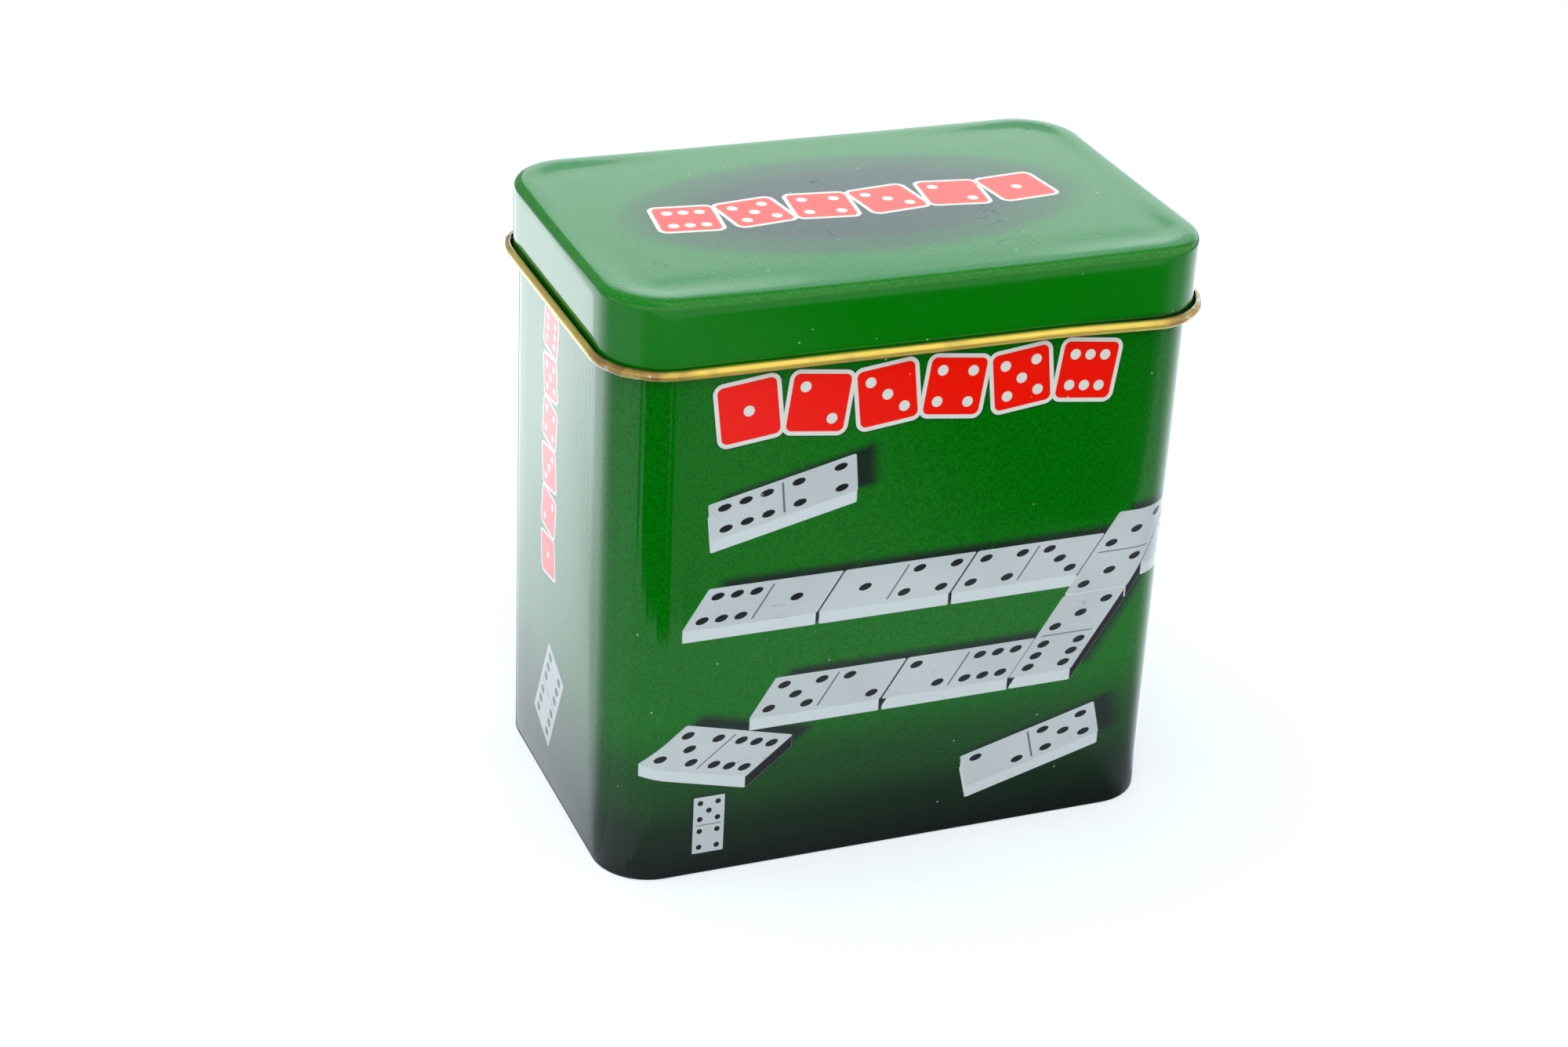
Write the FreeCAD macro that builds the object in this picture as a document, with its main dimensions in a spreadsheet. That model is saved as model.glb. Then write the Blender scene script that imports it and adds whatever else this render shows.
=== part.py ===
import FreeCAD, Part
import math
import operator
import os
from types import SimpleNamespace

import Sketcher

# A domino tin: a printed tinplate box with a slip lid, round a double-six set of tiles.
# Millimetres, +Z up. The origin is the middle of the foot, and the front faces -Y.

SIZES = {
    # The tiles, which the tin is made to hold in two by two stacks
    "tile_length": 51,
    "tile_width": 25.5,
    "tile_thickness": 12.7,
    "tile_edge": 0.8,
    "divider_width": 1.4,
    "divider_depth": 0.6,
    "pip_diameter": 4.4,
    "pip_depth": 0.7,
    "pip_pitch": 7.3,
    # Room round the stacks
    "stack_gap": 0.8,
    "end_room": 5.82,
    "side_room": 9.32,
    "headroom": 28.42,
    # The tin's sheet and its bends, radii on the outside of the bend
    "tinplate": 0.28,
    "corner_radius": 11,
    "foot_bend": 0.6,
    "hem_width": 2.8,
    "rim_roll": 1.0,
    "rim_leg": 1.2,
    "seam_width": 4.5,
    "seam_notch": 1.5,
    # The base pan
    "base_recess": 2.4,
    "base_bend": 0.6,
    "base_fit": 0.1,
    # The lid
    "lid_clearance": 0.95,
    "lid_seat_gap": 0.15,
    "lid_depth": 14.4,
    "shoulder_radius": 1.3,
    "lid_curl": 0.97,
    # How far a flat panel laps the bent ring that it continues, and how far a cut runs past a face
    "panel_lap": 1.5,
    "overrun": 0.5,
}

HIGHEST_PIP_COUNT = 6
TILES_PER_STACK = 7
PIP_SIDES = 10
SEAM_LAYERS = 2
HIDDEN_FLAT_DEGREES = 30
SHOWN_FLAT_DEGREES = 22.5

# Where the pips of each count stand on half a tile, in steps of the pitch along and across it
PIP_STEP_SHARES = {
    1: [(0, 0)],
    2: [(-1, 1), (1, -1)],
    3: [(-1, 1), (0, 0), (1, -1)],
    4: [(-1, -1), (-1, 1), (1, -1), (1, 1)],
    5: [(-1, -1), (-1, 1), (0, 0), (1, -1), (1, 1)],
    6: [(-1, -1), (-1, 1), (0, -1), (0, 1), (1, -1), (1, 1)],
}
# The four stacks, in stack steps along X and Y from the middle
STACK_STEP_SHARES = [(-1, -1), (1, -1), (-1, 1), (1, 1)]

doc = FreeCAD.newDocument("domino_tin")
sheet = doc.addObject("Spreadsheet::Sheet", "Sizes")


class Size:
    """A length, both as a number and as the formula that gives it from the sheet's cells."""

    def __init__(self, number, formula):
        self.number = number
        self.formula = formula

    def __neg__(self):
        return self * -1


def worked_out(sign, work):
    """An operator on sizes that keeps the number and the formula in step."""

    def method(self, other):
        if not isinstance(other, Size):
            other = Size(other, str(other))
        return Size(work(self.number, other.number), f"({self.formula} {sign} {other.formula})")

    return method


Size.__add__ = worked_out("+", operator.add)
Size.__sub__ = worked_out("-", operator.sub)
Size.__mul__ = worked_out("*", operator.mul)
Size.__truediv__ = worked_out("/", operator.truediv)


def fill_sheet():
    """Writes every driving size to the sheet, and returns them as sizes by name."""
    sizes = {}
    for row, (name, value) in enumerate(SIZES.items(), start=1):
        sheet.set(f"A{row}", name)
        sheet.set(f"B{row}", str(value))
        sheet.setAlias(f"B{row}", name)
        sizes[name] = Size(value, f"Sizes.{name}")
    doc.recompute()
    return SimpleNamespace(**sizes)


s = fill_sheet()
ZERO = Size(0, "0")

# Sizes that follow from the driving ones
stack_height = s.tile_thickness * TILES_PER_STACK
stack_length = s.tile_length * 2 + s.stack_gap
stack_width = s.tile_width * 2 + s.stack_gap
tin_width = stack_length + s.end_room * 2 + s.tinplate * 2
tin_depth = stack_width + s.side_room * 2 + s.tinplate * 2
lid_underside = s.base_recess + stack_height + s.headroom
tin_height = lid_underside + s.tinplate
rim_top = lid_underside - s.lid_seat_gap


def bind(thing, **sizes):
    """Ties properties of an object to the sheet. Two underscores in a name stand for a dot."""
    for name, size in sizes.items():
        thing.setExpression(name.replace("__", "."), size.formula)


def new_body(label):
    body = doc.addObject("PartDesign::Body", label)
    body.Label = label
    return body


def new_sketch(body, role, name):
    """A sketch on one of the body's own origin planes."""
    plane = next(f for f in body.Origin.OriginFeatures if f.Role == role)
    sketch = body.newObject("Sketcher::SketchObject", name)
    sketch.AttachmentSupport = [(plane, "")]
    sketch.MapMode = "FlatFace"
    return sketch


def vector(point):
    return FreeCAD.Vector(point[0].number, point[1].number, 0)


def fix(sketch, geometry, end, size, direction):
    """Holds one coordinate of a point of a sketch at a size."""
    number = sketch.addConstraint(
        Sketcher.Constraint(f"Distance{direction}", geometry, end, size.number)
    )
    sketch.setExpression(f"Constraints[{number}]", size.formula)


def outline(sketch, corners):
    """Draws a closed outline. A corner is (x, y) before a straight side, or (x, y, centre, turn) before a
    round one about that centre, with turn 1 anticlockwise and -1 clockwise."""
    sides = []
    for corner, following in zip(corners, corners[1:] + corners[:1]):
        start, end = vector(corner), vector(following)
        if len(corner) == 2:
            side = sketch.addGeometry(Part.LineSegment(start, end))
            first, last = 1, 2
        else:
            centre, turn = vector(corner[2]), corner[3]
            first, last = (1, 2) if turn > 0 else (2, 1)
            low, high = (start, end) if turn > 0 else (end, start)
            circle = Part.Circle(centre, FreeCAD.Vector(0, 0, 1), start.distanceToPoint(centre))
            angles = [math.atan2(p.y - centre.y, p.x - centre.x) for p in (low, high)]
            side = sketch.addGeometry(Part.ArcOfCircle(circle, *angles))
        sides.append((side, first, last))
    for (side, first, last), (following, begin, _) in zip(sides, sides[1:] + sides[:1]):
        sketch.addConstraint(Sketcher.Constraint("Coincident", side, last, following, begin))
    for corner, (side, first, last) in zip(corners, sides):
        fix(sketch, side, first, corner[0], "X")
        fix(sketch, side, first, corner[1], "Y")
        if len(corner) > 2:
            fix(sketch, side, 3, corner[2][0], "X")


def flats(centre, radius, start, turn, flat_degrees=HIDDEN_FLAT_DEGREES):
    """Corners along a tight bend, drawn as a few narrow flats, from start through turn degrees."""
    count = round(abs(turn) / flat_degrees)
    angles = [math.radians(start + turn * n / count) for n in range(count + 1)]
    return [
        (centre[0] + radius * round(math.cos(angle), 9), centre[1] + radius * round(math.sin(angle), 9))
        for angle in angles
    ]


def rounded_rectangle(width, depth, radius):
    """The corners of a rectangle with round corners about the origin, from the middle of its far side."""
    across, along = width / 2, depth / 2
    near_x, near_y = across - radius, along - radius
    return [
        (ZERO, along),
        (-near_x, along, (-near_x, near_y), 1),
        (-across, near_y),
        (-across, -near_y, (-near_x, -near_y), 1),
        (-near_x, -along),
        (near_x, -along, (near_x, -near_y), 1),
        (across, -near_y),
        (across, near_y, (near_x, near_y), 1),
        (near_x, along),
    ]


def sheet_ring(body, section):
    """Sweeps the section of a bent sheet round the tin. A section's first coordinate runs outwards from the
    outside of the tin's wall, and its second is the height."""
    path = new_sketch(body, "XY_Plane", f"{body.Label}_path")
    outline(path, rounded_rectangle(tin_width, tin_depth, s.corner_radius))
    profile = new_sketch(body, "YZ_Plane", f"{body.Label}_section")
    wall = tin_depth / 2
    outline(
        profile,
        [
            (wall + corner[0], corner[1])
            + tuple((wall + centre[0], centre[1]) for centre in corner[2:3])
            + corner[3:]
            for corner in section
        ],
    )
    ring = body.newObject("PartDesign::AdditivePipe", f"{body.Label}_ring")
    ring.Profile = (profile, [""])
    ring.Spine = (path, [])
    doc.recompute()
    return ring


def panel(body, inset, bottom):
    """A flat panel of sheet inside a ring, whose outline lies the inset within the tin's wall."""
    sketch = new_sketch(body, "XY_Plane", f"{body.Label}_panel_outline")
    bind(sketch, AttachmentOffset__Base__z=bottom)
    size = rounded_rectangle(tin_width - inset * 2, tin_depth - inset * 2, s.corner_radius - inset)
    outline(sketch, size)
    pad = body.newObject("PartDesign::Pad", f"{body.Label}_panel")
    pad.Profile = sketch
    bind(pad, Length=s.tinplate)
    doc.recompute()


def rectangle(low_x, low_y, high_x, high_y):
    return [(low_x, low_y), (high_x, low_y), (high_x, high_y), (low_x, high_y)]


def tin_wall():
    """The body's one sheet: hemmed inwards under the foot, rolled inwards at the rim, seamed at the back."""
    body = new_body("tin_wall")
    foot = (-s.foot_bend, s.foot_bend)
    roll = (-s.rim_roll, rim_top - s.rim_roll)
    leg_outside = -s.rim_roll * 2
    leg_end = roll[1] - s.rim_leg
    outside = flats(foot, s.foot_bend, -90, 90) + flats(roll, s.rim_roll, 0, 180)
    inside = flats(roll, s.rim_roll - s.tinplate, 180, -180) + flats(foot, s.foot_bend - s.tinplate, 0, -90)
    leg = [(leg_outside, leg_end), (leg_outside + s.tinplate, leg_end)]
    hem = [(-s.hem_width, s.tinplate), (-s.hem_width, ZERO)]
    sheet_ring(body, outside + leg + inside + hem)
    # The folded laps of the seam lie on the inside of the wall, cut away before the base and the rim
    seam = new_sketch(body, "XZ_Plane", "seam_outline")
    bind(seam, AttachmentOffset__Base__z=s.tinplate / 2 - tin_depth / 2)
    half_width = s.seam_width / 2
    low, high = s.base_recess + s.seam_notch, leg_end - s.seam_notch
    outline(seam, rectangle(-half_width, low, half_width, high))
    laps = body.newObject("PartDesign::Pad", "seam_laps")
    laps.Profile = seam
    bind(laps, Length=s.tinplate / 2 + s.tinplate * SEAM_LAYERS)
    doc.recompute()
    return body


def tin_base():
    """A pan pressed from sheet, upside down, whose flange stands on the hem inside the wall."""
    body = new_body("tin_base")
    flange = -(s.foot_bend + s.base_fit)
    bend = (flange - s.base_bend, s.base_recess - s.base_bend)
    inner_edge = bend[0] - s.panel_lap
    underside = s.base_recess - s.tinplate
    outside = flats(bend, s.base_bend, 90, -90)
    inside = flats(bend, s.base_bend - s.tinplate, 0, 90)
    foot = [(flange, s.tinplate), (flange - s.tinplate, s.tinplate)]
    edge = [(inner_edge, underside), (inner_edge, s.base_recess)]
    sheet_ring(body, outside + foot + inside + edge)
    panel(body, s.panel_lap / 2 - bend[0], underside)
    return body


def lid():
    """The slip lid: a flat top, a shoulder, a skirt, and a lower edge curled outwards and up to the skirt."""
    body = new_body("lid")
    inside = s.lid_clearance
    outside = s.lid_clearance + s.tinplate
    shoulder = (outside - s.shoulder_radius, tin_height - s.shoulder_radius)
    curl = (inside + s.lid_curl, tin_height - s.lid_depth + s.lid_curl)
    inner_edge = shoulder[0] - s.panel_lap
    section = [
        (inner_edge, tin_height),
        *flats(shoulder, s.shoulder_radius, 90, -90, SHOWN_FLAT_DEGREES),
        *flats(curl, s.lid_curl - s.tinplate, 180, 270),
        *flats(curl, s.lid_curl, 90, -270, SHOWN_FLAT_DEGREES),
        *flats(shoulder, s.shoulder_radius - s.tinplate, 0, 90),
        (inner_edge, lid_underside),
    ]
    sheet_ring(body, section)
    panel(body, s.panel_lap / 2 - shoulder[0], lid_underside)
    return body


def tile_blank():
    """A tile without its pips, about the middle of its underside: a block with bevelled edges and a divider."""
    body = new_body("tile_blank")
    half_length, half_width = s.tile_length / 2, s.tile_width / 2
    base = new_sketch(body, "XY_Plane", "tile_outline")
    outline(base, rectangle(-half_length, -half_width, half_length, half_width))
    block = body.newObject("PartDesign::Pad", "tile_block")
    block.Profile = base
    bind(block, Length=s.tile_thickness)
    doc.recompute()
    bevel = body.newObject("PartDesign::Chamfer", "tile_bevel")
    bevel.Base = (block, [f"Edge{n + 1}" for n in range(len(block.Shape.Edges))])
    bind(bevel, Size=s.tile_edge)
    doc.recompute()
    whole = body.Shape.Volume
    groove = new_sketch(body, "XZ_Plane", "divider_section")
    slope = s.divider_width / 2 / s.divider_depth
    mouth = slope * (s.divider_depth + s.overrun)
    outline(
        groove,
        [
            (ZERO, s.tile_thickness - s.divider_depth),
            (mouth, s.tile_thickness + s.overrun),
            (-mouth, s.tile_thickness + s.overrun),
        ],
    )
    divider = body.newObject("PartDesign::Pocket", "divider")
    divider.Profile = groove
    divider.Type = "ThroughAll"
    divider.Midplane = True
    doc.recompute()
    if body.Shape.Volume >= whole:
        raise RuntimeError("the divider cuts nothing from the tile")
    return body


def pip_dimple():
    """A pip's dimple as a solid to cut away: a shallow many-sided cone, its point down, from above the face."""
    deep, over = s.pip_depth.number, s.overrun.number
    top = s.tile_thickness.number + over
    radius = s.pip_diameter.number / 2 * (deep + over) / deep
    turns = [2 * math.pi * n / PIP_SIDES for n in range(PIP_SIDES)]
    ring = [FreeCAD.Vector(radius * math.cos(t), radius * math.sin(t), top) for t in turns]
    point = Part.Vertex(0, 0, s.tile_thickness.number - deep)
    return Part.makeLoft([Part.makePolygon(ring + ring[:1]), point], True, True)


def pip_groups():
    """The dimples of each count on each half of a tile, as cutting tools by (count, half)."""
    dimple = pip_dimple()
    pitch = s.pip_pitch.number
    groups = {}
    for count, places in PIP_STEP_SHARES.items():
        for half in (-1, 1):
            middle = half * s.tile_length.number / 4
            moves = [FreeCAD.Vector(middle + pitch * x, pitch * y, 0) for x, y in places]
            tool = doc.addObject("Part::Feature", f"pips_{count}_{'left' if half < 0 else 'right'}")
            tool.Shape = Part.makeCompound([dimple.translated(move) for move in moves])
            groups[count, half] = tool
    return groups


def tiles(blank):
    """The 28 tiles of a double-six set, in order, dealt into the stacks from the bottom up."""
    groups = pip_groups()
    counts = range(HIGHEST_PIP_COUNT + 1)
    pairs = [(low, high) for low in counts for high in counts if low <= high]
    made = []
    for number, (low, high) in enumerate(pairs):
        label = f"tile_{low}_{high}"
        tools = [groups[count, half] for count, half in ((low, -1), (high, 1)) if count]
        if tools:
            pips = doc.addObject("Part::Compound", f"{label}_pips")
            pips.Links = tools
            tile = doc.addObject("Part::Cut", label)
            tile.Base = blank
            tile.Tool = pips
        else:
            tile = doc.addObject("Part::Compound", label)
            tile.Links = [blank]
        tile.Label = label
        stack, level = divmod(number, TILES_PER_STACK)
        step_x, step_y = STACK_STEP_SHARES[stack]
        bind(
            tile,
            Placement__Base__x=(s.tile_length + s.stack_gap) / 2 * step_x,
            Placement__Base__y=(s.tile_width + s.stack_gap) / 2 * step_y,
            Placement__Base__z=s.base_recess + s.tile_thickness * level,
        )
        made.append(tile)
    return made


def check(parts):
    """Stops the build if any object failed, or a piece is not one sound solid."""
    for thing in doc.Objects:
        if {"Invalid", "Error"} & set(thing.State):
            raise RuntimeError(f"{thing.Label} failed: {thing.State}")
    for part in parts:
        shape = part.Shape
        if shape.isNull() or not shape.isValid() or len(shape.Solids) != 1:
            raise RuntimeError(f"{part.Label} is not one sound solid")


def main():
    parts = [tin_wall(), tin_base(), lid()] + tiles(tile_blank())
    doc.recompute()
    check(parts)
    os.makedirs("parts", exist_ok=True)
    for part in parts:
        part.Shape.exportStep(f"parts/{part.Label}.step")
    print(f"{len(parts)} pieces, {tin_width.number:.1f} x {tin_depth.number:.1f} x {tin_height.number:.1f} mm")


main()
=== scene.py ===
"""Looks of the domino tin: bent and printed sheet, gold lacquer, moulded tiles, and a white studio."""

import math
from functools import partialmethod

import bmesh
import bpy
from mathutils import Matrix, Vector


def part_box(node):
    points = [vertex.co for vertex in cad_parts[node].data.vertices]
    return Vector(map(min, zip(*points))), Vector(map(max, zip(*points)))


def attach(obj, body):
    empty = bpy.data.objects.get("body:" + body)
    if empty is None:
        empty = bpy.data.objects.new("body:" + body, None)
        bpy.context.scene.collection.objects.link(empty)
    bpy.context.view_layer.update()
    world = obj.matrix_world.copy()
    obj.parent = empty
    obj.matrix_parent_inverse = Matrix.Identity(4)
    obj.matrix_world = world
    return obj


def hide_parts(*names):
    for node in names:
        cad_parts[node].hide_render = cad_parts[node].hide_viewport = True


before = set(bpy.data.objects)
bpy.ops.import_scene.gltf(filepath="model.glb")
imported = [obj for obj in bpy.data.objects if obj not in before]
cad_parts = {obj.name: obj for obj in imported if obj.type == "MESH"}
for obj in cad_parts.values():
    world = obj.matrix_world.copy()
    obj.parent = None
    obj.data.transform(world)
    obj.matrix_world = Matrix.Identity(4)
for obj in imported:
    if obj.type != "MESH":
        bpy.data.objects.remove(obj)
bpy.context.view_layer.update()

MM = 0.001

# Sizes of the bent sheet, in metres, radii on the outside of the bend
TINPLATE = 0.28 * MM
CORNER_RADIUS = 11 * MM
FOOT_BEND = 0.6 * MM
HEM_WIDTH = 2.8 * MM
RIM_ROLL = 1.0 * MM
RIM_LEG = 1.2 * MM
SEAM_WIDTH = 4.5 * MM
SEAM_NOTCH = 1.5 * MM
SEAM_LAYERS = 2
SEAM_GROOVE = 0.14 * MM
BASE_BEND = 0.6 * MM
BASE_FIT = 0.1 * MM
LID_CLEARANCE = 0.95 * MM
SHOULDER_RADIUS = 1.3 * MM
LID_CURL = 0.97 * MM
CURL_DEGREES = 276

# Places that follow from the frame
wall_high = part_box("tin_wall")[1]
lid_low, lid_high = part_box("lid")
HALF_WIDTH = wall_high.x
HALF_DEPTH = wall_high.y
RIM_TOP = wall_high.z
TIN_TOP = lid_high.z
LID_FOOT = lid_low.z
LID_OUTSIDE = LID_CLEARANCE + TINPLATE
BASE_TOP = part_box("tin_base")[1].z
SEAM_LOW = BASE_TOP + SEAM_NOTCH
SEAM_HIGH = RIM_TOP - RIM_ROLL - RIM_LEG - SEAM_NOTCH
CORE_X = HALF_WIDTH - CORNER_RADIUS
CORE_Y = HALF_DEPTH - CORNER_RADIUS
CORNER_ARC = CORNER_RADIUS * math.pi / 2
PERIMETER = 4 * (CORE_X + CORE_Y + CORNER_ARC)

# How far the pressed lid strays from its flat panel and even curl
PANEL_SHARE = 0.85
ROLL_OFF_WIDTH = 3.2 * MM
ROLL_OFF_LEAN = 0.3
ROLL_OFF_DROP = 0.26 * MM
RIDGE = 0.30 * MM
RIDGE_INSET = 2.8 * MM
RIDGE_REACH = 4.4 * MM
DIP = 0.07 * MM
DIP_INSET = 8.0 * MM
DIP_REACH = 5.5 * MM
CROWN = 0.32 * MM
CRIMP = 0.14 * MM
RIPPLE = 0.02 * MM
SAG = 0.75 * MM
SAG_PLACE_MM = 50
SAG_REACH_MM = 26
CURL_RUN = 0.12 * MM
CURL_CORNER = 0.05 * MM
CORNER_REACH = (40 * MM, 32 * MM)

# How far the wall strays from flat
BULGE = 0.16 * MM
WAVE = 0.03 * MM

# Wave numbers of what strays, per millimetre
WALL_WAVES = (0.21, 0.09)
PANEL_WAVES = (0.11, 0.14)
CRIMP_WAVES = (1.15, 2.6)
CURL_WAVE = 0.045

# How finely the sheet is drawn, with the steps of each piece along its long sides and its ends
CORNER_STEPS = 16
BEND_STEPS = 8
CURL_STEPS = 22
WALL_ROWS = 18
SKIRT_ROWS = 6
WALL_STEPS = (16, 10)
BASE_STEPS = (8, 6)
LID_STEPS = (30, 18)
BASE_INSETS_MM = (28, 20, 12, 6, 3)
LID_INSETS_MM = (31, 27, 23, 19.5, 16.5, 14, 12, 10.5, 9, 7.8, 6.6, 5.6, 4.7, 3.9, 3.2, 2.5)
LID_INSETS_MM += (1.9, 1.3, 0.8, 0.4)
SHARP_DEGREES = 38
WELD_DISTANCE = 1e-7

# The tiles
TILE_EDGE = 0.9 * MM
TILE_EDGE_STEPS = 5
DIVIDER_HALF = 0.7 * MM
DIVIDER_DEPTH = 0.6 * MM
PIP_PITCH = 7.3 * MM
PIP_SEGMENTS = 24
PIP_RINGS_MM = [(2.4, 0.0), (2.27, 0.03), (2.17, 0.12), (1.9, 0.33), (1.45, 0.53), (0.85, 0.66), (0.35, 0.7)]
HIGHEST_PIP_COUNT = 6
PIP_STEPS = {
    0: [],
    1: [(0, 0)],
    2: [(-1, 1), (1, -1)],
    3: [(-1, 1), (0, 0), (1, -1)],
    4: [(-1, -1), (-1, 1), (1, -1), (1, 1)],
    5: [(-1, -1), (-1, 1), (0, 0), (1, -1), (1, 1)],
    6: [(-1, -1), (-1, 1), (0, -1), (0, 1), (1, -1), (1, 1)],
}

# Linear colours, and indices of refraction
GREEN = (0.0004, 0.152, 0.0018)
LID_GREEN = (0.0012, 0.190, 0.0020)
GREEN_DARK = (0.0010, 0.0040, 0.0022)
OVAL_DARK = (0.016, 0.014, 0.024)
RED = (0.98, 0.008, 0.001)
OFF_WHITE = (0.78, 0.80, 0.74)
TILE_GREY = (0.58, 0.64, 0.655)
TILE_SIDE_GREY = (0.68, 0.75, 0.77)
# Print ink, also used for the painted shade in the lid's crevice above the curl
INK_AND_PAINTED_SHADE = (0.006, 0.007, 0.010)
GOLD_DARK = (0.40, 0.21, 0.030)
GOLD_DEEP = (0.86, 0.60, 0.060)
GOLD_PALE = (0.96, 0.72, 0.085)
TIN_SILVER = (0.62, 0.60, 0.55)
STEEL = (0.50, 0.50, 0.49)
STEEL_DARK = (0.30, 0.29, 0.27)
IVORY = (0.80, 0.79, 0.74)
IVORY_CLOUD = (0.76, 0.74, 0.68)
IVORY_SCRATCH = (0.45, 0.42, 0.36)
PIP_BLACK = (0.008, 0.008, 0.010)
PIP_WORN = (0.020, 0.020, 0.024)
FLOOR_COLOUR = (0.54, 0.61, 0.66)
VARNISH_IOR = 1.52
PLASTIC_IOR = 1.49

# Fades of the print as stops: up the wall, as a share of the fade's height, and out from the lid's middle
FADE_HEIGHT_MM = 90.0
GREEN_FADE = [(0.0, GREEN_DARK), (0.10, (0.0010, 0.016, 0.003)), (0.22, (0.0008, 0.058, 0.0024))]
GREEN_FADE += [(0.40, GREEN)]
OVAL_HALF_MM = (50.0, 26.0)
OVAL_FADE = [(0.0, OVAL_DARK), (0.52, (0.014, 0.020, 0.020)), (0.80, (0.008, 0.085, 0.012)), (1.0, LID_GREEN)]

# The print on the wall, in millimetres along the wall from the middle of the front, and up from the foot
ROW_BLOCKS = 6
ROW_STEP_MM = 13.4
ROW_BLOCK_HALF_MM = 5.95
ROW_CORNER_MM = 1.5
ROW_OUTLINE_MM = 0.55
ROW_RIM_MM = 0.4
ROW_TILT_DEGREES = 7
ROW_PITCH_MM = 3.1
ROW_PIP_MM = 1.05
FRONT_ROW_HEIGHT_MM = 97.3
SIDE_ROW_HEIGHT_MM = 74.5
SIDE_ROW_PLACE_MM = 82.9
SIDE_ROW_SHARE = 0.70
BEND_MARK = 55.0
SPECK_CELLS = 400.0
SPECK_CHANCE = 0.08
PRINT_START_MM = 58.0
PRINT_TILE_MM = (26.6, 13.3)
PRINT_TILE_CORNER_MM = 0.5
PRINT_PITCH_MM = 3.8
PRINT_PIP_MM = 1.2
PRINT_EDGE_MM = 0.09
# The tiles are drawn obliquely, as if they lay on a table, with a thickness and a soft shadow behind them
PRINT_SQUASH = 0.62
PRINT_SHEAR = 0.62
PRINT_THICKNESS_MM = (0.0, -2.4)
PRINT_SHADOW_MM = (3.2, 1.2)
PRINT_SHADOW_BLUR_MM = 2.4
DARK_END_SLANT = 0.6
# Printed tiles: along, up, turn in degrees, share of full size, and the counts of the two halves
PRINT_TILES = [
    (-26.0, 79.0, 24, 1.0, 6, 4),
    (-29.0, 58.0, 0, 1.0, 6, 1),
    (-2.0, 58.0, 0, 1.0, 1, 4),
    (25.0, 58.0, 0, 1.0, 4, 3),
    (45.2, 58.0, 90, 1.0, 3, 3),
    (34.8, 41.2, 90, 1.0, 6, 3),
    (12.1, 37.0, 0, 1.0, 2, 6),
    (-14.9, 37.0, 0, 1.0, 5, 2),
    (-37.0, 27.0, -20, 1.0, 5, 6),
    (29.0, 17.0, 28, 1.0, 2, 5),
]
CORNER_TILE = (65.4, 58.0, 0, 1.0, 3, 5)
# The small upright tile and the tilted one on each side are drawn flat
FLAT_TILES = [(-38.0, 11.0, 90, 0.47, 4, 5), (84.3, 20.5, 64, 0.80, 6, 6)]


def mix_steps(low, high, count):
    """Evenly spaced values from low to high, both included."""
    return [low + (high - low) * n / count for n in range(count + 1)]


def bend(centre, radius, start, turn, steps=BEND_STEPS):
    """Points of a round bend of a section, from start through turn degrees."""
    angles = [math.radians(angle) for angle in mix_steps(start, start + turn, steps)]
    return [(centre[0] + radius * math.cos(a), centre[1] + radius * math.sin(a)) for a in angles]


class Station:
    """A place on the path round the tin: a point of the core rectangle, the way out of it and the arc."""

    def __init__(self, core, degrees, arc):
        self.core = core
        self.out = Vector((math.cos(math.radians(degrees)), math.sin(math.radians(degrees))))
        self.arc = arc

    def at(self, offset):
        """The point at an offset outside the wall. Deep insets shrink the core instead of the corner."""
        radius = CORNER_RADIUS + offset
        inset = max(0.0, -radius)
        reach = max(0.0, radius)
        x = self.core[0] * (CORE_X - inset) / CORE_X + self.out.x * reach
        y = self.core[1] * (CORE_Y - inset) / CORE_Y + self.out.y * reach
        return x, y


def path_stations(side_steps, end_steps, seam_shares):
    """Stations round the tin from the seam in the back's middle, by the left side, front and right."""
    made = []
    arc = -PERIMETER / 2

    def side(start, end, degrees, shares):
        nonlocal arc
        length = math.dist(start, end)
        for share in shares:
            core = [a + (b - a) * share for a, b in zip(start, end)]
            made.append(Station(core, degrees, arc + length * share))
        arc += length

    def corner(core, start):
        nonlocal arc
        for n in range(1, CORNER_STEPS):
            share = n / CORNER_STEPS
            made.append(Station(core, start + 90 * share, arc + CORNER_ARC * share))
        arc += CORNER_ARC

    long_shares, end_shares = mix_steps(0, 1, side_steps), mix_steps(0, 1, end_steps)
    near_seam = sorted(seam_shares + mix_steps(0, 1, side_steps // 2))
    start = seam = (0.0, CORE_Y)
    signs = [(-1, 1), (-1, -1), (1, -1), (1, 1)]
    for number, shares in enumerate([near_seam, end_shares, long_shares, end_shares]):
        degrees = 90 * (number + 1) % 360
        end = (signs[number][0] * CORE_X, signs[number][1] * CORE_Y)
        side(start, end, degrees, shares)
        corner(end, degrees)
        start = end
    side(start, seam, 90, [1 - share for share in reversed(near_seam)][:-1])
    return made


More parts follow.
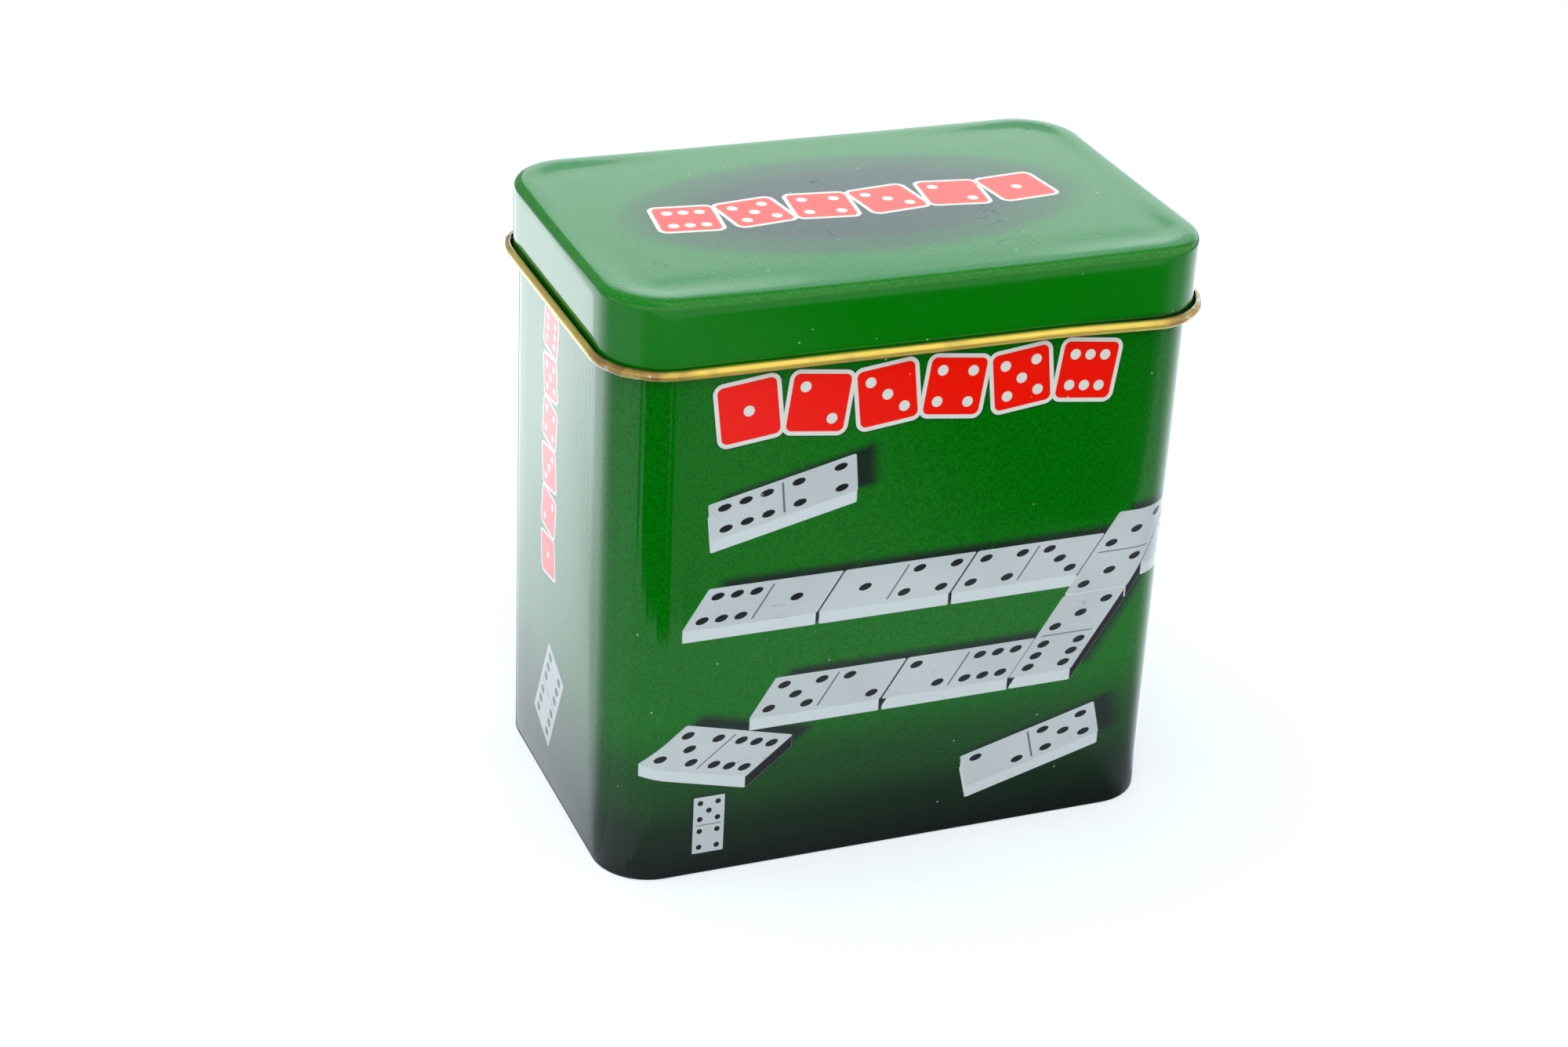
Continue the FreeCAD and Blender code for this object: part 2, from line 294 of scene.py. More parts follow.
def swept_sheet(name, section, finishes, stations, shape=None, closed=True):
    """Sweeps a sheet's section round the tin. A section point is (offset, height, finish of what follows).
    The UV map gives millimetres along the wall and millimetres of height. An open section starts and ends
    on the middle line of a panel."""
    mesh = bmesh.new()
    uv = mesh.loops.layers.uv.new("print")
    columns = []
    for station in stations:
        column = []
        for offset, height, _ in section:
            x, y = station.at(offset)
            point = Vector((x, y, height))
            if shape:
                point = shape(point, station, offset)
            column.append(mesh.verts.new(point))
        columns.append(column)
    last_row = len(section) if closed else len(section) - 1
    arcs = [station.arc for station in stations] + [PERIMETER / 2]
    for n, column in enumerate(columns):
        following = columns[(n + 1) % len(columns)]
        for row in range(last_row):
            above = (row + 1) % len(section)
            corners = [(column, row, n), (following, row, n + 1)]
            corners += [(following, above, n + 1), (column, above, n)]
            face = mesh.faces.new([line[place] for line, place, _ in corners])
            face.material_index = finishes.index(section[row][2])
            for loop, (_, place, place_along) in zip(face.loops, corners):
                loop[uv].uv = (arcs[place_along] / MM, section[place][1] / MM)
    return finished_mesh(name, mesh)


def finished_mesh(name, mesh):
    """Welds a mesh, turns its faces outwards, smooths it between sharp edges and makes it an object."""
    bmesh.ops.remove_doubles(mesh, verts=mesh.verts, dist=WELD_DISTANCE)
    bmesh.ops.dissolve_degenerate(mesh, edges=mesh.edges, dist=WELD_DISTANCE / 10)
    bmesh.ops.recalc_face_normals(mesh, faces=mesh.faces)
    data = bpy.data.meshes.new(name)
    mesh.to_mesh(data)
    mesh.free()
    data.shade_smooth()
    data.set_sharp_from_angle(angle=math.radians(SHARP_DEGREES))
    made = bpy.data.objects.new(name, data)
    bpy.context.scene.collection.objects.link(made)
    return made


def painted(points, finish):
    return [(x, z, finish) for x, z in points]


def near(distance, reach):
    """A smooth bump: 1 at no distance, falling to 0 at the reach."""
    share = max(0.0, 1 - abs(distance) / reach)
    return share * share * (3 - 2 * share)


def wall_shape(point, station, offset):
    """The seam's laps inside and groove outside, and the faint bulge and waves of the flat panels."""
    from_seam = PERIMETER / 2 - abs(station.arc)
    on_seam = SEAM_LOW < point.z < SEAM_HIGH and from_seam < SEAM_WIDTH / 2
    if on_seam and abs(offset + TINPLATE) < TINPLATE / 4:
        point.y -= TINPLATE * SEAM_LAYERS
    if from_seam < SEAM_GROOVE and abs(offset) < TINPLATE / 4:
        point.y -= SEAM_GROOVE
    rise = math.sin(math.pi * min(1.0, max(0.0, point.z / RIM_TOP)))
    along_front = near(point.x, HALF_WIDTH - CORNER_RADIUS / 2)
    along_side = near(point.y, HALF_DEPTH - CORNER_RADIUS / 2)
    wave = WAVE * math.sin(station.arc / MM * WALL_WAVES[0] + 1.3) * math.sin(point.z / MM * WALL_WAVES[1])
    push = rise * (BULGE * (abs(station.out.y) * along_front + abs(station.out.x) * along_side) + wave)
    point.x += station.out.x * push
    point.y += station.out.y * push
    return point


def printed_wall():
    """The body: hemmed under the foot, rolled inwards at the rim, printed outside and lacquered inside."""
    foot = (-FOOT_BEND, FOOT_BEND)
    roll = (-RIM_ROLL, RIM_TOP - RIM_ROLL)
    leg_end = roll[1] - RIM_LEG
    heights = mix_steps(FOOT_BEND, roll[1], WALL_ROWS)[1:-1]
    edge = TINPLATE / 2
    inner_heights = sorted(heights + [SEAM_LOW - edge, SEAM_LOW + edge, SEAM_HIGH - edge, SEAM_HIGH + edge])
    outside = bend(foot, FOOT_BEND, -90, 90) + [(0.0, z) for z in heights] + bend(roll, RIM_ROLL, 0, 180)
    inside = bend(roll, RIM_ROLL - TINPLATE, 180, -180)
    inside += [(-TINPLATE, z) for z in reversed(inner_heights)] + bend(foot, FOOT_BEND - TINPLATE, 0, -90)
    section = painted(outside, "print")
    section += [(-2 * RIM_ROLL, leg_end, "edge")]
    section += painted([(-2 * RIM_ROLL + TINPLATE, leg_end)] + inside, "lacquer")
    section += [(-HEM_WIDTH, TINPLATE, "edge"), (-HEM_WIDTH, 0.0, "print")]
    shares = [d / CORE_X for d in (SEAM_GROOVE * 1.5, SEAM_WIDTH / 2 - edge, SEAM_WIDTH / 2 + edge)]
    stations = path_stations(*WALL_STEPS, shares)
    return swept_sheet("printed_wall", section, ["print", "lacquer", "edge"], stations, wall_shape)


def lacquered_base():
    """The base pan, pressed upside down, with its flange standing on the wall's hem."""
    flange = -(FOOT_BEND + BASE_FIT)
    centre = (flange - BASE_BEND, BASE_TOP - BASE_BEND)
    insets = [-HALF_DEPTH] + [-d * MM for d in BASE_INSETS_MM]
    top = [(inset, BASE_TOP) for inset in insets] + bend(centre, BASE_BEND, 90, -90)
    under = bend(centre, BASE_BEND - TINPLATE, 0, 90)
    under += [(inset, BASE_TOP - TINPLATE) for inset in reversed(insets)]
    section = painted(top, "lacquer") + [(flange, TINPLATE, "edge")]
    section += painted([(flange - TINPLATE, TINPLATE)] + under, "lacquer")
    stations = path_stations(*BASE_STEPS, [])
    return swept_sheet("lacquered_base", section, ["lacquer", "edge"], stations, closed=False)


def lid_shape(point, station, offset):
    """The panel's rolled-off edge, faint crown and raised corners, and the curl's uneven run and crimps."""
    share = max(0.0, min(1.0, (point.z - LID_FOOT) / (TIN_TOP - LID_FOOT)))
    inset = LID_OUTSIDE - offset
    corner_mark = abs(station.out.x * station.out.y) * 2
    arc = station.arc / MM
    if share > PANEL_SHARE:
        across, along = point.x / (HALF_WIDTH + LID_OUTSIDE), point.y / (HALF_DEPTH + LID_OUTSIDE)
        roll_off = max(0.0, 1 - inset / (ROLL_OFF_WIDTH * (1 + ROLL_OFF_LEAN * across)))
        corner = near(abs(point.x) - HALF_WIDTH, CORNER_REACH[0])
        corner *= near(abs(point.y) - HALF_DEPTH, CORNER_REACH[1])
        ripple = RIPPLE * math.sin(point.x / MM * PANEL_WAVES[0] + 0.6)
        ripple *= math.cos(point.y / MM * PANEL_WAVES[1])
        crown = (CROWN + ripple) * (1 - across ** 2) * (1 - along ** 2)
        ridge = RIDGE * corner * near(inset - RIDGE_INSET, RIDGE_REACH)
        dip = DIP * corner * near(inset - DIP_INSET, DIP_REACH)
        point.z += crown + ridge - dip - ROLL_OFF_DROP * roll_off * roll_off
    low = 1 - share
    bead = low ** 6
    crimp = corner_mark * (math.sin(arc * CRIMP_WAVES[0]) + 0.6 * math.sin(arc * CRIMP_WAVES[1] + 1.0))
    sag = SAG * near(arc - SAG_PLACE_MM, SAG_REACH_MM) + CURL_RUN * math.sin(arc * CURL_WAVE + 0.4)
    point.z += bead * CRIMP * crimp - low * sag
    push = bead * (CRIMP * 0.8 * crimp + CURL_CORNER * corner_mark)
    point.x += station.out.x * push
    point.y += station.out.y * push
    return point


def printed_lid():
    """The slip lid: panel, shoulder and skirt, with the lower edge curled outwards to show the lacquer."""
    shoulder = (LID_OUTSIDE - SHOULDER_RADIUS, TIN_TOP - SHOULDER_RADIUS)
    curl = (LID_CLEARANCE + LID_CURL, LID_FOOT + LID_CURL)
    insets = [-HALF_DEPTH] + [-d * MM for d in LID_INSETS_MM]
    skirt = mix_steps(shoulder[1], curl[1], SKIRT_ROWS)[1:-1]
    outer = [(inset, TIN_TOP) for inset in insets] + bend(shoulder, SHOULDER_RADIUS, 90, -90)
    outer += [(LID_OUTSIDE, z) for z in skirt]
    outer += bend(curl, LID_CURL - TINPLATE, 180, CURL_DEGREES, CURL_STEPS)
    inner = bend(curl, LID_CURL, 180 + CURL_DEGREES, -CURL_DEGREES, CURL_STEPS)
    inner += [(LID_CLEARANCE, z) for z in reversed(skirt)]
    inner += bend(shoulder, SHOULDER_RADIUS - TINPLATE, 0, 90)
    inner += [(inset, TIN_TOP - TINPLATE) for inset in reversed(insets)]
    section = painted(outer[:-1], "print") + painted(outer[-1:], "edge") + painted(inner, "lacquer")
    stations = path_stations(*LID_STEPS, [])
    finishes = ["print", "lacquer", "edge"]
    return swept_sheet("printed_lid", section, finishes, stations, lid_shape, closed=False)


def tile_mesh(name, low_corner, high_corner, counts):
    """A moulded tile with rounded edges, a divider groove and a painted dimple for each pip."""
    mesh = bmesh.new()
    half_x = (high_corner.x - low_corner.x) / 2
    half_y = (high_corner.y - low_corner.y) / 2
    middle_x = (high_corner.x + low_corner.x) / 2
    middle_y = (high_corner.y + low_corner.y) / 2
    bottom, top = low_corner.z, high_corner.z
    flat_x, flat_y = half_x - TILE_EDGE, half_y - TILE_EDGE

    def add(x, y, z):
        return mesh.verts.new((middle_x + x, middle_y + y, z))

    def face(verts, finish=0):
        made = mesh.faces.new(verts)
        made.material_index = finish

    def ring(inset, z):
        verts = []
        for sign_x, sign_y, start in ((1, 1, 0), (-1, 1, 90), (-1, -1, 180), (1, -1, 270)):
            for angle in mix_steps(start, start + 90, TILE_EDGE_STEPS):
                reach = TILE_EDGE - inset
                x = sign_x * flat_x + reach * math.cos(math.radians(angle))
                y = sign_y * flat_y + reach * math.sin(math.radians(angle))
                verts.append(add(x, y, z))
        return verts

    quarter = [math.radians(a) for a in mix_steps(0, 90, TILE_EDGE_STEPS)]
    levels = [(TILE_EDGE * (1 - math.sin(a)), bottom + TILE_EDGE * (1 - math.cos(a))) for a in quarter]
    levels += [(TILE_EDGE * (1 - math.cos(a)), top - TILE_EDGE * (1 - math.sin(a))) for a in quarter]
    rings = [ring(inset, z) for inset, z in levels]
    for lower, upper in zip(rings, rings[1:]):
        for n in range(len(lower)):
            following = (n + 1) % len(lower)
            face([lower[n], lower[following], upper[following], upper[n]])
    under = [(-flat_x, -flat_y), (-flat_x, flat_y), (flat_x, flat_y), (flat_x, -flat_y)]
    face([add(x, y, bottom) for x, y in under])
    tile_face(add, face, counts, (flat_x, flat_y, half_x / 2), top)
    made = finished_mesh(name, mesh)
    weighted = made.modifiers.new("even_shading", "WEIGHTED_NORMAL")
    weighted.keep_sharp = True
    weighted.weight = 100
    return made


def tile_face(add, face, counts, sizes, top):
    """The top of a tile: two blocks of three by three cells beside the groove, and the margins round them."""
    flat_x, flat_y, middle = sizes
    block = PIP_PITCH * 1.5
    per_cell = PIP_SEGMENTS // 4
    steps = mix_steps(-block, block, 3 * per_cell)
    near_x, far_x = middle - block, middle + block
    tip = (block + flat_y) / 2
    for sign in (-1, 1):
        for count_x in (-1, 0, 1):
            for count_y in (-1, 0, 1):
                has_pip = (count_x, count_y) in PIP_STEPS[counts[0 if sign < 0 else 1]]
                cell = (sign * middle + count_x * PIP_PITCH, count_y * PIP_PITCH)
                tile_cell(add, face, cell, has_pip, top)
        beside = [add(sign * near_x, y, top) for y in steps]
        face(beside + [add(sign * DIVIDER_HALF, block, top), add(sign * DIVIDER_HALF, -block, top)])
        outer = [add(sign * far_x, y, top) for y in steps]
        face(outer + [add(sign * flat_x, flat_y, top), add(sign * flat_x, -flat_y, top)])
        groove = [(sign * DIVIDER_HALF, -block, top), (sign * DIVIDER_HALF, block, top)]
        floor = [(0, block, top - DIVIDER_DEPTH), (0, -block, top - DIVIDER_DEPTH)]
        face([add(*point) for point in groove + floor])
        for side in (-1, 1):
            end = [(0, side * tip, top), (sign * DIVIDER_HALF, side * block, top)]
            face([add(*point) for point in end + [(0, side * block, top - DIVIDER_DEPTH)]])
    for side in (-1, 1):
        right = [add(middle + x, side * block, top) for x in reversed(steps)]
        left = [add(-middle - x, side * block, top) for x in steps]
        tips = [(DIVIDER_HALF, side * block), (0, side * tip), (-DIVIDER_HALF, side * block)]
        notch = [add(x, y, top) for x, y in tips]
        face(right + notch + left + [add(-flat_x, side * flat_y, top), add(flat_x, side * flat_y, top)])


def tile_cell(add, face, cell, has_pip, top):
    """One cell of a tile's face: flat, or with a round dimple whose faces are painted."""
    half = PIP_PITCH / 2
    per_side = PIP_SEGMENTS // 4
    along = mix_steps(-half, half, per_side)[:-1]
    square = [(half, y) for y in along] + [(-x, half) for x in along]
    square += [(-half, -y) for y in along] + [(x, -half) for x in along]
    rim = [add(cell[0] + x, cell[1] + y, top) for x, y in square]
    if not has_pip:
        face(rim)
        return
    turns = [math.radians(-45 + 360 * n / PIP_SEGMENTS) for n in range(PIP_SEGMENTS)]
    outer = rim
    for number, (radius, depth) in enumerate(PIP_RINGS_MM):
        inner = []
        for turn in turns:
            x = cell[0] + radius * MM * math.cos(turn)
            y = cell[1] + radius * MM * math.sin(turn)
            inner.append(add(x, y, top - depth * MM))
        for n in range(PIP_SEGMENTS):
            following = (n + 1) % PIP_SEGMENTS
            face([outer[n], outer[following], inner[following], inner[n]], 1 if number > 1 else 0)
        outer = inner
    face(outer, 1)


# What each printed tile passes on to the next
TILE_OUTPUTS = ["Face", "Side", "Shade", "Shadow", "Tile Place", "Counts"]
# Sockets of the shader groups that carry vectors, where the others carry single values
VECTORS = {"Place", "Half Size", "Middle", "Turn", "Size", "Drop", "Cast", "Own Counts"}
VECTORS |= {"Tile Place", "Counts"}
# The range that a noise mostly keeps to
NOISE_RANGE = (0.3, 0.7)


class Graph:
    """Adds nodes to a node tree. A value is a socket to link from, or a number, tuple or colour to set."""

    def __init__(self, tree):
        self.tree = tree

    def node(self, kind, **settings):
        made = self.tree.nodes.new(kind)
        for name, value in settings.items():
            setattr(made, name, value)
        return made

    def feed(self, socket, value):
        if isinstance(value, bpy.types.NodeSocket):
            self.tree.links.new(value, socket)
        elif socket.type == "RGBA":
            socket.default_value = (*value[:3], 1.0)
        else:
            socket.default_value = value

    def feed_all(self, sockets, values):
        """Feeds sockets in order, or by name with underscores standing for spaces."""
        for key, value in values.items() if isinstance(values, dict) else enumerate(values):
            self.feed(sockets[key.replace("_", " ") if isinstance(key, str) else key], value)

    def fed(self, kind, inputs, **settings):
        """Adds a node and feeds its inputs. Returns its outputs."""
        made = self.node(kind, **settings)
        self.feed_all(made.inputs, inputs)
        return made.outputs

    def math(self, operation, *values, clamp=False):
        return self.fed("ShaderNodeMath", values, operation=operation, use_clamp=clamp)[0]

    times = partialmethod(math, "MULTIPLY")
    plus = partialmethod(math, "ADD")
    minus = partialmethod(math, "SUBTRACT")
    divided = partialmethod(math, "DIVIDE")
    absolute = partialmethod(math, "ABSOLUTE")
    times_plus = partialmethod(math, "MULTIPLY_ADD")
    larger = partialmethod(math, "MAXIMUM")
    smaller = partialmethod(math, "MINIMUM")
    above = partialmethod(math, "GREATER_THAN")

    def place(self):
        """The place on the object."""
        return self.node("ShaderNodeTexCoord").outputs["Object"]

    def sheet_place(self):
        """The place on the flat sheet, in millimetres along it and up."""
        return self.node("ShaderNodeUVMap", uv_map="print").outputs[0]

    def vector(self, operation, *values):
        made = self.fed("ShaderNodeVectorMath", values, operation=operation)
        return made["Value" if operation in ("LENGTH", "DISTANCE") else "Vector"]

    def scaled(self, vector, scale):
        return self.fed("ShaderNodeVectorMath", {0: vector, "Scale": scale}, operation="SCALE")["Vector"]

    def parts(self, vector):
        return self.fed("ShaderNodeSeparateXYZ", [vector])

    def joined(self, x, y, z=0.0):
        return self.fed("ShaderNodeCombineXYZ", (x, y, z))[0]

    def ramp(self, value, low, high, to_low=0.0, to_high=1.0):
        """A smooth step of a value from one range to another, held at its ends."""
        values = (value, low, high, to_low, to_high)
        return self.fed("ShaderNodeMapRange", values, interpolation_type="SMOOTHSTEP")[0]

    fall = partialmethod(ramp, to_low=1.0, to_high=0.0)

    def spread(self, noise, to_low=0.0, to_high=1.0):
        """A noise's usual range, spread to another."""
        return self.ramp(noise, *NOISE_RANGE, to_low, to_high)

    def mix(self, share, first, second, blend="MIX", kind="RGBA"):
        """Mixes two colours, or two vectors."""
        made = self.node("ShaderNodeMix", data_type=kind, blend_type=blend)
        ends = [socket for socket in made.inputs if socket.type == kind and socket.name in "AB"]
        self.feed(made.inputs["Factor"], share)
        self.feed(ends[0], first)
        self.feed(ends[1], second)
        return next(socket for socket in made.outputs if socket.type == kind)

    choose = partialmethod(mix, kind="VECTOR")

    def noise(self, place, scale, detail=2.0, output="Fac"):
        return self.fed("ShaderNodeTexNoise", {"Vector": place, "Scale": scale, "Detail": detail})[output]

    def cells(self, place, scale, output="Distance"):
        return self.fed("ShaderNodeTexVoronoi", {"Vector": place, "Scale": scale})[output]

    def colours(self, value, stops):
        """A colour ramp with eased stops, each (place, colour)."""
        made = self.node("ShaderNodeValToRGB")
        ramp = made.color_ramp
        ramp.interpolation = "EASE"
        for number, (place, colour) in enumerate(stops):
            stop = ramp.elements[number] if number < len(ramp.elements) else ramp.elements.new(place)
            stop.position = place
            stop.color = (*colour, 1.0)
        self.feed(made.inputs[0], value)
        return made.outputs[0]

    def bump(self, height, distance):
        return self.fed("ShaderNodeBump", {"Distance": distance, "Height": height})[0]

    def use(self, group, **inputs):
        """Places a node group."""
        return self.fed("ShaderNodeGroup", inputs, node_tree=group)


def new_group(name, inputs, outputs):
    """An empty node group with the named sockets. Returns its tree, its graph and its input sockets."""
    tree = bpy.data.node_groups.new(name, "ShaderNodeTree")
    for in_out, sockets in (("INPUT", inputs), ("OUTPUT", outputs)):
        for label in sockets:
            kind = "NodeSocketVector" if label in VECTORS else "NodeSocketFloat"
            tree.interface.new_socket(label, in_out=in_out, socket_type=kind)
    graph = Graph(tree)
    return tree, graph, graph.node("NodeGroupInput").outputs


def close_group(graph, **values):
    graph.fed("NodeGroupOutput", values)


def rounded_box_group():
    """How far a place lies outside a rectangle with round corners."""
    tree, g, given = new_group("rounded box", ["Place", "Half Size", "Corner"], ["Distance"])
    corner = g.joined(given["Corner"], given["Corner"])
    past = g.vector("SUBTRACT", g.vector("ABSOLUTE", given["Place"]), given["Half Size"])
    over = g.vector("ADD", past, corner)
    x, y, _ = g.parts(over)
    outside = g.vector("LENGTH", g.vector("MAXIMUM", g.joined(x, y), (0, 0, 0)))
    inside = g.smaller(g.larger(x, y), 0.0)
    close_group(g, Distance=g.minus(g.plus(outside, inside), given["Corner"]))
    return tree


def pip_group():
    """The dots of a count from none to six on a square, whose dots stand one unit apart."""
    tree, g, given = new_group("pip dots", ["Place", "Count", "Radius", "Edge"], ["Dots"])
    x, y, _ = g.parts(given["Place"])
    near_x, near_y = (g.smaller(g.larger(g.math("ROUND", v), -1.0), 1.0) for v in (x, y))
    distance = g.vector("DISTANCE", given["Place"], g.joined(near_x, near_y))
    edge_in = g.minus(given["Radius"], given["Edge"])
    edge_out = g.plus(given["Radius"], given["Edge"])
    dot = g.fall(distance, edge_in, edge_out)
    product = g.times(near_x, near_y)
    size_x, size_y = (g.absolute(v) for v in (near_x, near_y))
    odd = g.math("MODULO", given["Count"], 2.0)
    in_middle = g.math("LESS_THAN", g.plus(size_x, size_y), 0.5)
    shown = g.times(in_middle, odd)
    falling, rising = g.math("LESS_THAN", product, -0.5), g.above(product, 0.5)
    for test, least in ((falling, 1.5), (rising, 3.5)):
        enough = g.above(given["Count"], least)
        shown = g.times_plus(test, enough, shown)
    beside = g.times(g.minus(1.0, size_x), size_y)
    shown = g.times_plus(beside, g.above(given["Count"], 5.5), shown)
    close_group(g, Dots=g.times(dot, shown))
    return tree


def tile_print_group(rounded_box):
    """Adds a printed tile to those before it: the masks of its face, drawn thickness, shaded end and soft
    shadow, the place on the tile under the point, and that tile's two counts. Drop and Cast are the drawn
    thickness and the shift of the shadow, along the tile and across it. Shaded picks the sides across (-1)
    or along it (1)."""
    inputs = ["Place", "Middle", "Turn", "Size", "Drop", "Cast", "Shaded", "Own Counts"]
    tree, g, given = new_group("printed tile", inputs + TILE_OUTPUTS, TILE_OUTPUTS)
    half_size = Vector((PRINT_TILE_MM[0] / 2, PRINT_TILE_MM[1] / 2, 0))
    well_inside = half_size - Vector((2 * PRINT_EDGE_MM, 2 * PRINT_EDGE_MM, 0))
    own_place = {"Vector": given["Place"], "Location": given["Middle"]}
    own_place |= {"Rotation": given["Turn"], "Scale": given["Size"]}
    local = g.fed("ShaderNodeMapping", own_place, vector_type="TEXTURE")[0]

    def cover(place, inner, outer):
        distance = g.use(rounded_box, Place=place, Half_Size=half_size, Corner=PRINT_TILE_CORNER_MM)[0]
        return g.fall(distance, inner, outer)

    own = cover(local, -PRINT_EDGE_MM, PRINT_EDGE_MM)
    on_tile = g.choose(own, given["Tile Place"], local)
    counts = g.choose(own, given["Counts"], given["Own Counts"])
    over = g.vector("SUBTRACT", g.vector("MULTIPLY", local, g.vector("SIGN", given["Drop"])), well_inside)
    x, y, _ = g.parts(g.vector("DIVIDE", over, g.vector("ABSOLUTE", given["Drop"])))
    dropped = g.scaled(given["Drop"], g.larger(x, y, clamp=True))
    side = cover(g.vector("SUBTRACT", local, dropped), -PRINT_EDGE_MM, PRINT_EDGE_MM)
    shaded = g.above(g.times(g.minus(x, y), given["Shaded"]), 0.0)
    shade = g.times_plus(side, g.minus(shaded, given["Shade"]), given["Shade"])
    fallen = g.vector("SUBTRACT", local, given["Cast"])
    shadow = cover(fallen, -PRINT_SHADOW_BLUR_MM / 2, PRINT_SHADOW_BLUR_MM)
    masks = {"Face": own, "Side": side, "Shadow": shadow}
    joined = {name: g.larger(mask, given[name]) for name, mask in masks.items()}
    close_group(g, Tile_Place=on_tile, Counts=counts, Shade=shade, **joined)
    return tree


def tile_dots_group(pips):
    """The dots and divider of a printed tile, from a place on it and the counts of its halves."""
    tree, g, given = new_group("tile dots", ["Tile Place", "Counts"], ["Dots"])
    half_x, half_y = (size / 2 for size in PRINT_TILE_MM)
    x, y, _ = g.parts(given["Tile Place"])
    low, high, _ = g.parts(given["Counts"])
    to_middle = g.times(g.math("SIGN", x), half_x / 2)
    on_half = g.scaled(g.joined(g.minus(x, to_middle), y), 1 / PRINT_PITCH_MM)
    count = g.times_plus(g.minus(high, low), g.above(x, 0.0), low)
    soft = PRINT_EDGE_MM / PRINT_PITCH_MM
    dots = g.use(pips, Place=on_half, Count=count, Radius=PRINT_PIP_MM / PRINT_PITCH_MM, Edge=soft)[0]
    line = g.ramp(g.absolute(x), 0.10, 0.28, 0.75, 0.0)
    line = g.times(line, g.fall(g.absolute(y), half_y * 0.80, half_y * 0.84))
    close_group(g, Dots=g.larger(dots, line))
    return tree


def block_row_group(rounded_box, pips):
    """A row of outlined blocks, tilted by turns, that count from one to six in dots."""
    tree, g, given = new_group("block row", ["Place"], ["Rim", "Outline", "Block", "Dots"])
    x, y, _ = g.parts(given["Place"])
    number = g.math("FLOOR", g.plus(g.divided(x, ROW_STEP_MM), ROW_BLOCKS / 2))
    number = g.smaller(g.larger(number, 0.0), ROW_BLOCKS - 1.0)
    middle = g.times(g.minus(number, (ROW_BLOCKS - 1) / 2), ROW_STEP_MM)
    by_turns = g.minus(g.math("MODULO", number, 2.0), 0.5)
    tilt = g.times(by_turns, 2 * math.radians(ROW_TILT_DEGREES))
    from_middle = g.joined(g.minus(x, middle), y)
    turn = {"Vector": from_middle, "Angle": tilt}
    local = g.fed("ShaderNodeVectorRotate", turn, rotation_type="Z_AXIS")[0]
    half = (ROW_BLOCK_HALF_MM, ROW_BLOCK_HALF_MM, 0)
    edge = g.use(rounded_box, Place=local, Half_Size=half, Corner=ROW_CORNER_MM)[0]
    rim = g.fall(edge, ROW_OUTLINE_MM, ROW_OUTLINE_MM + ROW_RIM_MM)
    outline = g.fall(edge, ROW_OUTLINE_MM - PRINT_EDGE_MM, ROW_OUTLINE_MM + PRINT_EDGE_MM)
    block = g.fall(edge, -ROW_OUTLINE_MM / 2 - PRINT_EDGE_MM, -ROW_OUTLINE_MM / 2 + PRINT_EDGE_MM)
    on_block = g.scaled(local, 1 / ROW_PITCH_MM)
    count = g.plus(number, 1.0)
    soft = PRINT_EDGE_MM / ROW_PITCH_MM
    dots = g.use(pips, Place=on_block, Count=count, Radius=ROW_PIP_MM / ROW_PITCH_MM, Edge=soft)[0]
    close_group(g, Rim=rim, Outline=outline, Block=block, Dots=dots)
    return tree


def print_grain_group():
    """The fine dot grain of printed tinplate, as a tone about one and as a height, and broad unevenness."""
    tree, g, given = new_group("print grain", ["Place"], ["Tone", "Height", "Unevenness"])
    place = given["Place"]
    fine = g.noise(place, 2200.0, 1.0)
    dots = g.cells(place, 2600.0)
    broad = g.noise(place, 38.0, 3.0)
    tone = g.plus(g.ramp(fine, 0.25, 0.75, 0.76, 1.24), g.ramp(dots, 0.1, 0.6, -0.05, 0.05))
    peel = g.noise(place, 900.0, 2.0)
    close_group(g, Tone=tone, Height=g.plus(g.times(fine, 0.35), peel), Unevenness=broad)
    return tree


def handling_group():
    """Marks of use: dust specks and fine scratches, as masks."""
    tree, g, given = new_group("handling marks", ["Place"], ["Specks", "Scratches"])
    place = given["Place"]
    chance = g.cells(place, SPECK_CELLS, "Color")
    rare = g.above(g.parts(chance)[0], 1 - SPECK_CHANCE)
    speck = g.times(rare, g.fall(g.cells(place, SPECK_CELLS), 0.05, 0.10))
    bent = g.vector("ADD", place, g.scaled(g.noise(place, 60.0, output="Color"), 0.012))
    lines = g.noise(g.vector("MULTIPLY", bent, (1.0, 1.0, 7.0)), 55.0, 1.0)
    hair = g.fall(g.absolute(g.minus(lines, 0.5)), 0.0010, 0.0022)
    patch = g.ramp(g.noise(place, 47.0, 1.0), 0.62, 0.66)
    close_group(g, Specks=speck, Scratches=g.times(hair, patch))
    return tree


def new_material(name, **even):
    """A material with one shader and its even values. Returns it, its graph and the shader's inputs."""
    material = bpy.data.materials.new(name)
    material.use_nodes = True
    graph, shader = Graph(material.node_tree), material.node_tree.nodes["Principled BSDF"].inputs
    graph.feed_all(shader, even)
    return material, graph, shader


def add_blocks(g, colour, blocks):
    """Prints a row of red blocks with off-white outlines, thin dark rims and off-white dots."""
    colour = g.mix(g.times(blocks["Rim"], 0.8), colour, INK_AND_PAINTED_SHADE)
    colour = g.mix(blocks["Outline"], colour, OFF_WHITE)
    colour = g.mix(blocks["Block"], colour, RED)
    return g.mix(blocks["Dots"], colour, OFF_WHITE)


def on_table(along, up):
    """A step on the print as a step on the table of its oblique picture."""
    return Vector((along - PRINT_SHEAR * up, up / PRINT_SQUASH, 0))


